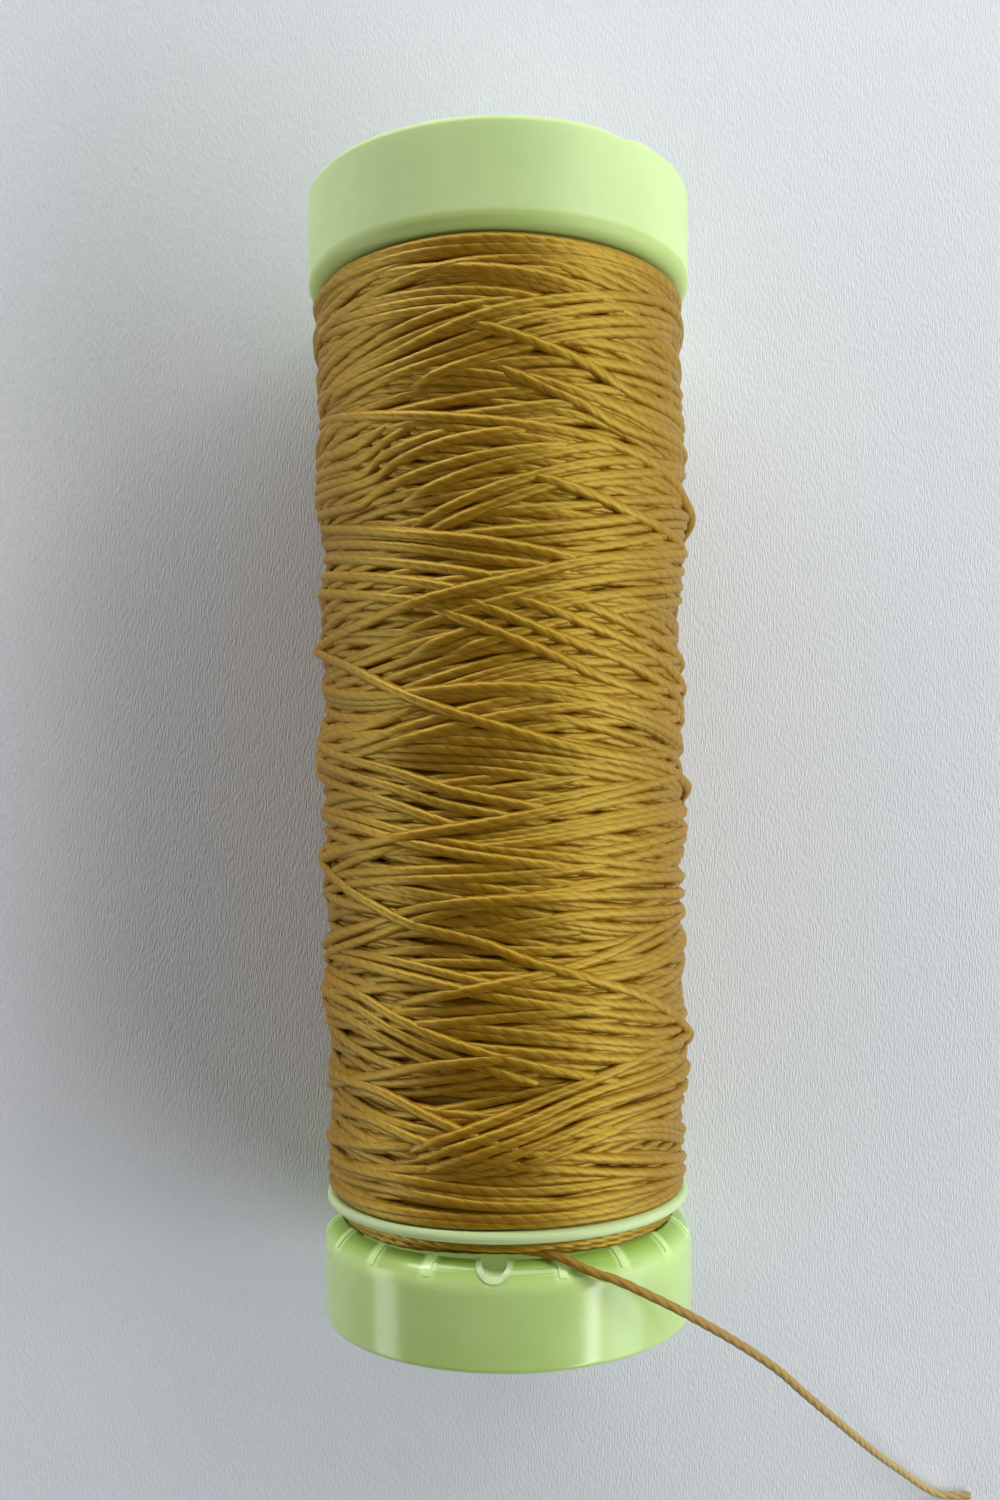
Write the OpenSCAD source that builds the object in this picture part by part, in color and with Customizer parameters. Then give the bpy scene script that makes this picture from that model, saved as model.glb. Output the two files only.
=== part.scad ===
// Snap spool of sewing thread, lying on its side.
// The spool's axis runs along Y with the collar at +Y and the snap base at -Y, Z is up, and the
// origin lies under the middle of the spool, on the surface that it rests on. Millimetres.
//
// One moulding carries the thread: a tube with a deep collar at one end, a thin disc near the
// other, and a hub below the disc. A second moulding, the snap base, plugs into the tube and
// slides in it. Pulled out, it opens a gap that takes the thread's end; pushed in, its toothed lip
// holds the turns that lie in the gap.

/* [Collar] */
// Outer diameter of the collar, which the base, the disc and the winding keep level with
collar_d = 20; // [18:0.1:24]
// Length of the collar along the axis
collar_len = 5.1; // [4:0.1:8]
// Wall of the collar's cup
collar_wall = 1.2; // [0.8:0.1:1.6]
// Thickness of the web that closes the collar towards the thread
collar_web = 1; // [0.6:0.1:1.6]
// Radius of the edge where the collar's wall turns in to the thread
collar_edge_r = 0.65; // [0.2:0.05:0.9]
// Radius of the edge at the collar's open end
collar_lip_r = 0.35; // [0.1:0.05:0.4]
// Number of ribs between the tube and the collar's wall
collar_ribs = 6; // [3:1:10]
// Thickness of those ribs
collar_rib_t = 0.7; // [0.4:0.1:1.2]
// How far the ribs stop below the collar's end
collar_rib_drop = 1.4; // [0.6:0.1:2.2]
// Depth of the shallow dip in the collar's end edge
dip_depth = 0.3; // [0.1:0.05:0.5]
// Width of that dip
dip_w = 3; // [1.5:0.1:5]

/* [Tube] */
// Outer diameter of the tube under the thread
tube_d = 14; // [13:0.1:14.6]
// Wall of the tube
tube_wall = 1.2; // [1:0.05:1.4]
// How far the tube stops below the collar's end
tube_drop = 0.6; // [0.1:0.1:1.2]
// Thickness of the end wall that closes the tube at the collar
end_wall = 1; // [0.6:0.1:1.6]
// Diameter of the spindle hole in that end wall
bore_d = 8; // [6:0.1:8.4]
// Length of the boss round the spindle hole
boss_len = 3; // [1.8:0.1:6]
// Wall of that boss
boss_wall = 0.9; // [0.6:0.05:1.2]

/* [Disc] */
// How far the rim of the thin disc below the thread lies inside the collar's and the base's
disc_inset = 0.2; // [0.05:0.05:0.5]
// Thickness of the disc
disc_t = 0.6; // [0.4:0.05:1]
// Length of the hub below the disc, where the locked turns lie
hub_len = 2.65; // [2.5:0.05:3.4]

/* [Snap base] */
// Length of the base along the axis
base_len = 5.35; // [5:0.05:8]
// Wall of the base's cup
base_wall = 1.1; // [0.8:0.05:1.2]
// Room between the hub and the base's lip, which the locked turns lie in
lock_room = 0.9; // [0.8:0.05:1.2]
// Gap between the disc and the base's lip while the locked turns lie in it
lock_gap = 0.9; // [0.85:0.05:1.3]
// How far the base pulls out from there to its stop
base_stroke = 1.6; // [0.6:0.1:2.4]
// Length of the shoulder that rounds the lip into the wall
shoulder_len = 1.5; // [1.2:0.1:2]
// Width of the shoulder, from the lip to the wall
shoulder_w = 1; // [0.9:0.05:1.05]
// Thickness of the base's floor
floor_t = 1; // [0.6:0.1:1.4]
// How far the floor is set back from the base's end
floor_recess = 0.5; // [0.2:0.1:1]
// Radius of the edge at the base's end
base_edge_r = 0.3; // [0.1:0.05:0.5]
// How much larger the radius of the hole in the floor is than that of the spindle hole
floor_hole_room = 0.3; // [0.1:0.05:0.6]
// Number of teeth round the lip
teeth = 18; // [8:1:24]
// Thickness of a tooth
tooth_t = 0.4; // [0.25:0.05:0.6]
// How far a tooth stands proud of the shoulder
tooth_h = 0.08; // [0.04:0.01:0.12]
// Inner width of the U-shaped notch in the lip
notch_w = 1.3; // [0.8:0.1:1.6]
// Width of the raised edge round the notch
notch_rim = 0.25; // [0.15:0.05:0.4]

/* [Snap fit] */
// Length of the spigot that plugs into the tube, above the floor
spigot_len = 9; // [6:0.1:14]
// Wall of the spigot
spigot_wall = 1; // [0.7:0.05:1.1]
// Clearance between the spigot and the tube
slide_clear = 0.1; // [0.05:0.01:0.15]
// Height of the snap bead round the spigot
bead_h = 0.25; // [0.1:0.05:0.35]
// Length of that bead along the spigot
bead_len = 0.6; // [0.4:0.1:1]
// How far the bead lies below the spigot's end
bead_drop = 0.5; // [0.3:0.1:1]
// Clearance left at the bead's stops
stop_clear = 0.1; // [0.05:0.01:0.2]

/* [Thread] */
// Length of the wound package between the collar and the disc
winding_len = 47.15; // [30:0.05:60]
// Diameter of the thread
thread_d = 0.47; // [0.3:0.01:0.5]
// Depth of the wound thread under the outer layer below the collar's rim, next to the disc
fill_disc = 0.9; // [0.85:0.05:2]
// The same at the middle of the package
fill_mid = 0.7; // [0.6:0.05:2]
// The same next to the collar
fill_collar = 0.8; // [0.7:0.05:2]
// Radius of the package's two end edges
pack_edge_r = 0.5; // [0.2:0.05:0.8]
// Loops in the outer layer
outer_loops = 24; // [10:1:24]
// How far each loop of the outer layer leans to and fro along the axis
outer_lean = 1.2; // [0:0.1:1.6]
// Distance from the package's ends to the outer layer's first and last loops
outer_margin = 0.8; // [0.5:0.1:2]
// Clearance of wound thread from what it lies on or against
wind_clear = 0.05; // [0.03:0.01:0.08]
// Loops of thread held on the hub
lock_loops = 2; // [1:1:2]
// Spacing of those loops
lock_pitch = 0.9; // [0.89:0.01:0.95]
// Distance from the disc to the centre of the last locked loop
lock_drop = 0.45; // [0.4:0.01:0.5]

/* [Hidden] */

ROUND = 96;                     // facets of a turned surface
EPS = 0.01;                     // overlap that joins solids of one moulding
LOOP_RINGS = 24;                // rings in one loop of wound thread
THREAD_SIDES = 6;               // sides of wound thread
TAIL_SIDES = 8;                 // sides of the free tail
PACK_STEPS = 12;                // steps along the package's side
PACK_EDGE_STEPS = 4;            // steps round each of its end edges
PLASTIC = [0.72, 0.85, 0.52];
THREAD_DEEP = [0.45, 0.31, 0.08];
THREAD_LIT = [0.72, 0.56, 0.24];

// the lip's own shape
shoulder_corner = 0.4;          // share of the shoulder's length that its curve is drawn to
lip_lean = 0.1;                 // how far the lip's inner face leans in
lip_depth = 0.6;                // depth of that face below the lip
lip_foot = 1;                   // depth at which it has met the cup's wall

// diameters that follow the collar's, so that the rims, the disc and the winding keep level
base_d = collar_d;
disc_d = collar_d - 2 * disc_inset;
pack_d_disc = collar_d - 2 * fill_disc;
pack_d_mid = collar_d - 2 * fill_mid;
pack_d_collar = collar_d - 2 * fill_collar;

// the hub fits in the base's lip with the locked turns round it, and the floor passes the spindle
hub_d = base_d - 2 * (base_wall + lip_lean + lock_room);
floor_hole_d = bore_d + 2 * floor_hole_room;

// radii
collar_r = collar_d / 2;
base_r = base_d / 2;
disc_r = disc_d / 2;
hub_r = hub_d / 2;
tube_r = tube_d / 2;
tube_bore_r = tube_r - tube_wall;
bore_r = bore_d / 2;
spigot_r = tube_bore_r - slide_clear;
bead_r = spigot_r + bead_h;
groove_r = bead_r + slide_clear;
thread_r = thread_d / 2;
cup_r = base_r - base_wall;
lip_r = base_r - shoulder_w;
rest_r = collar_r;

// stations along the axis, counted from the base's end
floor_top = floor_recess + floor_t;
spigot_top = floor_top + spigot_len;
bead_top = spigot_top - bead_drop;
bead_low = bead_top - bead_len;
groove_low = bead_low - base_stroke - stop_clear;
groove_top = bead_top + lock_gap + stop_clear;
disc_low = base_len + lock_gap;
disc_top = disc_low + disc_t;
hub_low = disc_low - hub_len;
pack_top = disc_top + winding_len;
web_top = pack_top + collar_web;
spool_top = pack_top + collar_len;
tube_top = spool_top - tube_drop;

// angles round the axis are counted from the highest line of the lying spool towards +X
notch_angle = -4.4;
dip_angle = 36;
first_rib_angle = 30;
lock_end_angle = -15;
outer_start_angle = 100;
lean_phase = 20;

// The free end of the thread, from the locked turns over the lip and down to the surface
tail_route = [
    [-1.7, -23.75, 18.1], [-0.7, -23.75, 18.37], [0.3, -23.8, 18.62], [1.2, -23.85, 18.86],
    [2, -23.95, 19.08], [2.8, -24.15, 19.28], [4, -24.7, 19.45], [5.3, -25.2, 19.35],
    [6.7, -26, 18.95], [8.1, -26.9, 18.3], [9.6, -28, 17.4], [11.1, -29.2, 16.3],
    [12.6, -30.5, 15.1], [14.2, -32, 13.8], [15.8, -33.8, 12.3], [17.7, -35.9, 10.4],
    [19.7, -38.2, 8], [22, -40.8, 5.1], [24.1, -43, 2.6], [25.7, -44.6, 1],
    [26.9, -45.4, 0.4], [28, -45.6, 0.26], [28.9, -45.6, 0.25]
];

// ---- helpers ----

// Lays a shape, turned round its own Z from the base's end upwards, on its side
module lying()
    translate([0, -spool_top / 2, rest_r]) rotate([-90, 0, 0]) children();

// The lying position of a point at radius r, angle a and station s
function lying_point(r, a, s) = [r * sin(a), s - spool_top / 2, rest_r + r * cos(a)];

function unit(v) = v / norm(v);

function reversed(list) = [for (i = [len(list) - 1:-1:0]) list[i]];

// n + 1 points of an arc about [cx, cy], from angle a0 to a1
function arc(cx, cy, r, a0, a1, n = 8) =
    [for (i = [0:n]) let (a = a0 + (a1 - a0) * i / n) [cx + r * cos(a), cy + r * sin(a)]];

// n + 1 points of a curve from p to q that is drawn towards the corner k
function blend(p, k, q, n = 10) =
    [for (i = [0:n]) let (t = i / n) (1 - t) * (1 - t) * p + 2 * t * (1 - t) * k + t * t * q];

// A solid turned from an outline of [radius, station] points
module turned(outline) rotate_extrude($fn = ROUND) polygon(outline);

// A round bar of radius r that stands out from the axis at angle a and station s
module radial_bar(a, s, r, from, to)
    rotate(a) translate([0, 0, s]) rotate([90, 0, 0]) translate([0, 0, from])
        cylinder(h = to - from, r = r, $fn = ROUND);

// Direction of a path at point i
function heading(path, i) = unit(path[min(i + 1, len(path) - 1)] - path[max(i - 1, 0)]);

// One ring of a tube of diameter d: square to the heading t, with its first point towards up
function ring(p, t, up, d, sides) =
    let (b = unit(cross(t, up)), n = cross(b, t))
    [for (k = [0:sides - 1]) p + d / 2 * (cos(360 * k / sides) * n + sin(360 * k / sides) * b)];

// A closed tube along a path, given a direction for each point that the rings are turned by
module tube_along(path, ups, d, sides) {
    last = (len(path) - 1) * sides;
    points = [for (i = [0:len(path) - 1]) each ring(path[i], heading(path, i), ups[i], d, sides)];
    walls = [for (i = [0:len(path) - 2], k = [0:sides - 1])
        let (a = i * sides + k, b = i * sides + (k + 1) % sides)
        each [[a, a + sides, b], [b, a + sides, b + sides]]];
    foot = [for (k = [1:sides - 2]) [0, k, k + 1]];
    head = [for (k = [1:sides - 2]) [last, last + k + 1, last + k]];
    polyhedron(points = points, faces = concat(walls, foot, head));
}

// Directions away from the spool's axis, for thread that winds round it
function outwards(path) = [for (p = path) [p[0], 0, p[2] - rest_r]];

// The least gap between a wound tube and its own neighbouring loops
function least_gap(path, d) =
    min([for (i = [0:len(path) - 1], j = [i + LOOP_RINGS / 2:i + 3 * LOOP_RINGS / 2])
        if (j < len(path)) norm(path[i] - path[j])]) - d;

// ---- one moulding: collar, tube, disc and hub ----

module collar_cup()
    turned(concat(
        [[tube_r - EPS, pack_top]],
        arc(collar_r - collar_edge_r, pack_top + collar_edge_r, collar_edge_r, -90, 0),
        arc(collar_r - collar_lip_r, spool_top - collar_lip_r, collar_lip_r, 0, 90),
        [[collar_r - collar_wall, spool_top], [collar_r - collar_wall, web_top],
         [tube_r - EPS, web_top]]
    ));

module collar_rib(a)
    rotate(a) translate([tube_r - EPS, -collar_rib_t / 2, web_top - EPS])
        cube([collar_r - collar_wall / 2 - tube_r, collar_rib_t,
              spool_top - collar_rib_drop - web_top]);

// The tube with its end wall and boss, and inside it the groove that the snap bead slides in
module tube_and_hub()
    turned(concat(
        [[tube_bore_r, hub_low], [hub_r, hub_low], [hub_r, disc_low]],
        arc(disc_r - disc_t / 2, disc_low + disc_t / 2, disc_t / 2, -90, 90),
        [[tube_r, disc_top], [tube_r, tube_top], [bore_r, tube_top],
         [bore_r, tube_top - boss_len], [bore_r + boss_wall, tube_top - boss_len],
         [bore_r + boss_wall, tube_top - end_wall], [tube_bore_r, tube_top - end_wall],
         [tube_bore_r, groove_top], [groove_r, groove_top], [groove_r, groove_low],
         [tube_bore_r, groove_low]]
    ));

// A wide bar that cuts the shallow dip in the collar's end edge
module edge_dip() {
    dip_r = (dip_w * dip_w / 4 + dip_depth * dip_depth) / (2 * dip_depth);
    radial_bar(dip_angle, spool_top - dip_depth + dip_r, dip_r,
               collar_r - 2 * collar_wall, collar_r + collar_wall);
}

module spool_body() color(PLASTIC) lying() difference() {
    union() {
        tube_and_hub();
        collar_cup();
        for (i = [0:collar_ribs - 1]) collar_rib(first_rib_angle + 360 * i / collar_ribs);
    }
    edge_dip();
}

// ---- the snap base: a cup with a spigot, a rounded lip, teeth and a notch ----

// The shoulder from the lip out to the wall, moved outwards by the amount given
function shoulder(proud = 0) =
    blend([lip_r, base_len + proud],
          [base_r + proud, base_len - shoulder_corner * shoulder_len + proud],
          [base_r + proud, base_len - shoulder_len]);

// The inner face of the lip, which leans in a little over the cup
function lip_inside(proud = 0) =
    [[cup_r - lip_lean, base_len - lip_lean + proud], [cup_r - lip_lean, base_len - lip_depth],
     [cup_r, base_len - lip_foot]];

module base_cup()
    turned(concat(
        [[floor_hole_d / 2, floor_recess], [cup_r, floor_recess], [cup_r, 0]],
        arc(base_r - base_edge_r, base_edge_r, base_edge_r, -90, 0),
        reversed(shoulder()),
        lip_inside(),
        [[cup_r, floor_top], [spigot_r, floor_top], [spigot_r, bead_low], [bead_r, bead_low],
         [bead_r, bead_top], [spigot_r, bead_top], [spigot_r, spigot_top],
         [spigot_r - spigot_wall, spigot_top], [spigot_r - spigot_wall, floor_top],
         [floor_hole_d / 2, floor_top]]
    ));

// A band a little proud of the lip, which the teeth and the notch's raised edge are cut from
module lip_band()
    turned(concat(
        reversed(shoulder(tooth_h)),
        lip_inside(tooth_h),
        [[base_r - base_wall / 2, base_len - shoulder_len]]
    ));

module tooth(a)
    rotate(a) translate([-tooth_t / 2, -base_r, base_len - shoulder_len / 2])
        cube([tooth_t, base_wall + shoulder_w, shoulder_len]);

module notch_bar(r) radial_bar(notch_angle, base_len, r, cup_r - base_wall, base_r + base_wall);

module snap_base() color(PLASTIC) lying() difference() {
    union() {
        base_cup();
        intersection() {
            lip_band();
            union() {
                for (i = [1:teeth - 1]) tooth(notch_angle + 360 * i / teeth);
                notch_bar(notch_w / 2 + notch_rim);
            }
        }
    }
    notch_bar(notch_w / 2);
}

// ---- the wound thread ----

// Radius of the package under its outer layer at a share t of its length, from the disc up
function pack_r(t) =
    (pack_d_disc * (1 - t) * (1 - 2 * t) + 4 * pack_d_mid * t * (1 - t)
     + pack_d_collar * t * (2 * t - 1)) / 2;

module thread_package() color(THREAD_DEEP) lying() {
    low = disc_top + wind_clear;
    high = pack_top - wind_clear;
    side = [for (i = [1:PACK_STEPS - 1])
        [pack_r(i / PACK_STEPS), low + (high - low) * i / PACK_STEPS]];
    turned(concat(
        [[tube_r + wind_clear, low]],
        arc(pack_r(0) - pack_edge_r, low + pack_edge_r, pack_edge_r, -90, 0, PACK_EDGE_STEPS),
        side,
        arc(pack_r(1) - pack_edge_r, high - pack_edge_r, pack_edge_r, 0, 90, PACK_EDGE_STEPS),
        [[tube_r + wind_clear, high]]
    ));
}

// Radius of a loop of thread that lies on a cylinder of radius r: a straight side between two
// rings comes nearer to the axis than the rings do
function loop_r(r) = r / cos(180 / LOOP_RINGS) + thread_r + wind_clear;

// Point i of the outer layer, from the disc to the collar
function outer_point(i) =
    let (t = i / (outer_loops * LOOP_RINGS), a = outer_start_angle + 360 * outer_loops * t,
         lean = outer_lean * sin(180 * t) * sin(a + lean_phase),
         share = (outer_margin + (winding_len - 2 * outer_margin) * t + lean) / winding_len)
    lying_point(loop_r(pack_r(share)), a, disc_top + winding_len * share);

outer_coil = [for (i = [0:outer_loops * LOOP_RINGS]) outer_point(i)];
outer_last = len(outer_coil) - 1;
outer_path = concat(
    [outer_coil[0] + thread_d * unit(outer_coil[0] - outer_coil[1])],
    outer_coil,
    [outer_coil[outer_last] + thread_d * unit(outer_coil[outer_last] - outer_coil[outer_last - 1])]
);

module thread_outer_layer()
    color(THREAD_LIT) tube_along(outer_path, outwards(outer_path), thread_d, THREAD_SIDES);

// ---- the turns on the hub and the free tail ----

// Point i of the locked turns, which climb the hub towards the disc
function lock_point(i) =
    let (left = lock_loops - i / LOOP_RINGS)
    lying_point(loop_r(hub_r), lock_end_angle - 360 * left,
                disc_low - lock_drop - lock_pitch * left);

lock_coil = [for (i = [0:lock_loops * LOOP_RINGS - 1]) lock_point(i)];
tail_heading = unit(tail_route[1] - tail_route[0]);
lock_path = concat(
    [lock_coil[0] + thread_d * unit(lock_coil[0] - lock_coil[1])],
    lock_coil,
    [tail_route[0] - thread_d * tail_heading, tail_route[0]]
);

module locked_turns()
    color(THREAD_LIT) tube_along(lock_path, outwards(lock_path), thread_d, THREAD_SIDES);

// A point between route points i and i + 1, on a smooth curve through them and their neighbours
function smooth(path, i, t) =
    let (a = path[max(i - 1, 0)], b = path[i], c = path[i + 1],
         d = path[min(i + 2, len(path) - 1)])
    0.5 * (2 * b + (c - a) * t + (2 * a - 5 * b + 4 * c - d) * t * t
           + (3 * b - a - 3 * c + d) * t * t * t);

tail_path = concat(
    [tail_route[0], tail_route[0] + thread_d * tail_heading],
    [for (i = [1:len(tail_route) - 2], t = [0, 0.5]) smooth(tail_route, i, t)],
    [tail_route[len(tail_route) - 1]]
);

module thread_tail()
    color(THREAD_LIT)
        tube_along(tail_path, [for (p = tail_path) [0, 0, 1]], thread_d, TAIL_SIDES);

echo(str("outer layer: least gap to itself ", least_gap(outer_path, thread_d), " mm"));
echo(str("locked turns: least gap to itself ", least_gap(lock_path, thread_d), " mm"));

spool_body();
snap_base();
thread_package();
thread_outer_layer();
locked_turns();
thread_tail();
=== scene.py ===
import math

import bpy
import numpy as np
from mathutils import Matrix, Vector


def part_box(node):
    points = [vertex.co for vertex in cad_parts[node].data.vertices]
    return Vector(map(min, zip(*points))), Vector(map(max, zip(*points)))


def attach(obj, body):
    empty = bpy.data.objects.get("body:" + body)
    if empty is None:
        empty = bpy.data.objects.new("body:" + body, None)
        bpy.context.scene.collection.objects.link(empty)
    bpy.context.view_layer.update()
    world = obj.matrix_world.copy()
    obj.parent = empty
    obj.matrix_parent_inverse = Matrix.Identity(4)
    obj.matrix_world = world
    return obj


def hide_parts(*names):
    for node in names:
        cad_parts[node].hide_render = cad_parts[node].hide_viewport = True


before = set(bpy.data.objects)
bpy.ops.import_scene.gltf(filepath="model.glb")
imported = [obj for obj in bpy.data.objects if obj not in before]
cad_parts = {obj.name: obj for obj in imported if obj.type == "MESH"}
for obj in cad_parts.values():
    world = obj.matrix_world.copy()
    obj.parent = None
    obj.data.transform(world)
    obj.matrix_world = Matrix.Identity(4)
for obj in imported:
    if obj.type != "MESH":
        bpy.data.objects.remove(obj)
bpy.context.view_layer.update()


# ---- camera ----
# Above the lying spool, nearly square to the table, a little towards the snap base and turned
# slightly, so that the free end of the thread runs out at the lower right.
EYE = (-0.000235, -0.00291, 0.084905)  # metres
TIP, ROLL = -0.0477, -0.01028  # radians


def add_object(name, data):
    """A mesh, lamp or camera as an object of that name in the scene."""
    made = bpy.data.objects.new(name, data)
    bpy.context.scene.collection.objects.link(made)
    return made


above = bpy.data.cameras.new("above_table")
above.sensor_width = 36
above.lens = 33.1
above.shift_y = 0.0905
above.clip_start, above.clip_end = 0.001, 10
camera = add_object("above_table", above)
camera.matrix_world = (Matrix.Translation(EYE)
                       @ Matrix.Rotation(TIP, 4, "X") @ Matrix.Rotation(ROLL, 4, "Z"))
bpy.context.scene.camera = camera


# ---- free end of the thread ----
# Three plies of polyester with a right-hand twist, cut off blunt. It comes out of the turns held
# on the hub, runs over the snap base's lip and drops to the table in one loose curve.
MM = 0.001
THREAD = 0.47  # mm across the thread
HALF = THREAD / 2
PLIES = 3
PLY_TURN = 2.85  # mm along the thread in which its plies go round once
PLY_ROUND, PLY_OUT = 0.77, 0.23  # a ply's radius and its way from the middle, as shares of HALF
tail_route = [
    (-1.7, -23.75, 18.1), (-0.7, -23.75, 18.37), (0.3, -23.8, 18.62), (1.2, -23.85, 18.86),
    (2, -23.95, 19.08), (2.8, -24.15, 19.28), (4, -24.7, 19.45), (5.3, -25.2, 19.35),
    (6.7, -26, 18.95), (8.1, -26.9, 18.3), (9.6, -28, 17.4), (11.1, -29.2, 16.3),
    (12.6, -30.5, 15.1), (14.2, -32, 13.8), (15.8, -33.8, 12.3), (17.7, -35.9, 10.4),
    (19.7, -38.2, 8), (22, -40.8, 5.1), (24.1, -43, 2.6), (25.7, -44.6, 1),
    (26.9, -45.4, 0.4), (28, -45.6, 0.26), (28.9, -45.6, 0.25),
]


class Wire:
    """A socket that can be written in sums: each operator adds its own Math node."""

    def __init__(self, bench, socket):
        self.bench, self.socket = bench, socket

    def __add__(self, other):
        return self.bench.math("ADD", self, other)

    def __sub__(self, other):
        return self.bench.math("SUBTRACT", self, other)

    def __rsub__(self, other):
        return self.bench.math("SUBTRACT", other, self)

    def __mul__(self, other):
        return self.bench.math("MULTIPLY", self, other)

    def __truediv__(self, other):
        return self.bench.math("DIVIDE", self, other)

    def __rtruediv__(self, other):
        return self.bench.math("DIVIDE", other, self)

    def __pow__(self, other):
        return self.bench.math("POWER", self, other)

    def __rpow__(self, other):
        return self.bench.math("POWER", other, self)

    def __abs__(self):
        return self.bench.math("ABSOLUTE", self)

    __radd__, __rmul__ = __add__, __mul__


class Bench:
    """A node tree to build on, for a finish or for a shape that repeats."""

    def __init__(self, tree):
        self.tree = tree

    def node(self, kind, settings=None, sockets=None, give=0):
        """Adds a node, sets it, fills its sockets with values or wires, and gives one output."""
        made = self.tree.nodes.new(kind)
        for name, value in (settings or {}).items():
            setattr(made, name, value)
        for name, value in (sockets or {}).items():
            self.feed(made.inputs[name], value)
        return Wire(self, made.outputs[give]) if len(made.outputs) else None

    def feed(self, socket, value):
        """Leads a wire to a socket, or sets the socket to a value."""
        if isinstance(value, Wire):
            self.tree.links.new(value.socket, socket)
        else:
            socket.default_value = value

    def math(self, operation, *values):
        return self.node("ShaderNodeMath", {"operation": operation}, dict(enumerate(values)))

    def mix(self, share, first, second):
        """One colour turning into another as the share goes from 0 to 1."""
        return self.node("ShaderNodeMix", {"data_type": "RGBA"}, {0: share, 6: first, 7: second}, 2)

    def step(self, value, low, high):
        """0 below low, 1 above high and smooth between them; low may be the larger one."""
        return self.node("ShaderNodeMapRange", {"interpolation_type": "SMOOTHSTEP"},
                         {"Value": value, "From Min": low, "From Max": high})

    def band(self, value, start, full, fading, end):
        """1 from full to fading, 0 before start and after end, and smooth between them."""
        return self.step(value, start, full) * self.step(value, end, fading)

    def noise(self, place, scale, detail=2):
        return self.node("ShaderNodeTexNoise", None,
                         {"Vector": place, "Scale": scale, "Detail": detail})


class Finish(Bench):
    """A material, with the sockets of its shader set as given."""

    def __init__(self, name, **constants):
        self.material = bpy.data.materials.new(name)
        self.material.use_nodes = True
        super().__init__(self.material.node_tree)
        self.shader = self.tree.nodes["Principled BSDF"]
        for socket, value in constants.items():
            self.paint(socket.replace("_", " "), value)

    def paint(self, socket, value):
        """Feeds one socket of the shader."""
        self.feed(self.shader.inputs[socket], value)

    def emboss(self, height, strength, distance):
        """Lets the light see a height as a relief, that many mm deep for a height of 1."""
        self.paint("Normal", self.node("ShaderNodeBump", None, {
            "Strength": strength, "Distance": distance * MM, "Height": height}, "Normal"))


def twisted_finish(name, shaded, groove_shade, deep, warm, fibre_glint, **constants):
    """Three plies as rounded lobes that climb round the thread, with painted shade in the grooves
    and painted glints on fine fibres; where the shade attribute is low it turns to painted shade.
    """
    finish = Finish(name, **constants)
    ring = finish.node("ShaderNodeAttribute", {"attribute_name": "ring"}, give="Vector")
    along = finish.node("ShaderNodeAttribute", {"attribute_name": "along"}, give="Fac")
    shade = finish.node("ShaderNodeAttribute", {"attribute_name": "shade"}, give="Fac")
    ring_x, ring_y = (finish.node("ShaderNodeSeparateXYZ", None, {"Vector": ring}, k) for k in "XY")
    climb = finish.math("ARCTAN2", ring_y, ring_x) - along * (math.tau / PLY_TURN)
    ply = abs(finish.math("COSINE", climb * (PLIES / 2)))
    fibre_place = finish.node("ShaderNodeCombineXYZ", None, {
        "X": finish.math("COSINE", climb) * 2, "Y": finish.math("SINE", climb) * 2,
        "Z": along * 0.7})
    fibre = finish.noise(fibre_place, 1.6)
    tint = finish.node("ShaderNodeTexNoise", {"noise_dimensions": "1D"},
                       {"W": along * 0.22, "Scale": 1})
    colour = finish.mix(finish.step(tint, 0.35, 0.65), deep, warm)
    # Painted glints along the fibres.
    colour = finish.mix(finish.step(fibre, 0.4, 0.75), colour, fibre_glint)
    # Painted shade in the grooves between the plies.
    colour = finish.mix(finish.step(ply, -0.1, 0.7), groove_shade, colour)
    finish.paint("Base Color", finish.mix(shade, shaded, colour))
    finish.emboss(ply ** 0.8 + fibre * 0.25, 0.5, 0.03)
    return finish.material


thread = twisted_finish(
    "mustard_thread", (0.16, 0.07, 0.0018, 1), (0.19, 0.085, 0.0018, 1),
    (0.25, 0.117, 0.0028, 1), (0.29, 0.14, 0.004, 1), (0.37, 0.2, 0.013, 1),
    Roughness=0.46, IOR=1.8, Specular_IOR_Level=1.0, Specular_Tint=(1, 0.8, 0.16, 1))
# The free end has its own copy of the thread's finish, paler and less saturated.
loose_thread = twisted_finish(
    "mustard_thread_loose", (0.28, 0.145, 0.008, 1), (0.35, 0.25, 0.085, 1),
    (0.44, 0.335, 0.135, 1), (0.48, 0.375, 0.165, 1), (0.54, 0.44, 0.21, 1),
    Roughness=0.6, IOR=1.5, Specular_IOR_Level=0.4, Specular_Tint=(1, 0.85, 0.5, 1))


def run_along(points):
    """How far along their line each of the points lies."""
    return np.concatenate([[0], np.cumsum(np.linalg.norm(np.diff(points, axis=0), axis=1))])


def smooth_route(points, spacing):
    """Points at an even spacing on a smooth curve through the given ones, in mm."""
    p = np.array([points[0], *points, points[-1]], float)
    t = np.linspace(0, 1, 24, endpoint=False)[:, None]
    fine = [0.5 * (2 * b + (c - a) * t + (2 * a - 5 * b + 4 * c - d) * t ** 2
                   + (3 * b - a - 3 * c + d) * t ** 3)
            for a, b, c, d in zip(p, p[1:], p[2:], p[3:])]
    fine = np.vstack([*fine, p[-1:]])
    run = run_along(fine)
    even = np.linspace(0, run[-1], max(2, round(run[-1] / spacing) + 1))
    return np.column_stack([np.interp(even, run, fine[:, k]) for k in range(3)])


def new_mesh(name, points, edges, faces):
    """A mesh from points in mm and the edges and faces between them."""
    mesh = bpy.data.meshes.new(name)
    mesh.from_pydata((np.asarray(points) * MM).tolist(), edges, faces)
    return mesh


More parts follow.
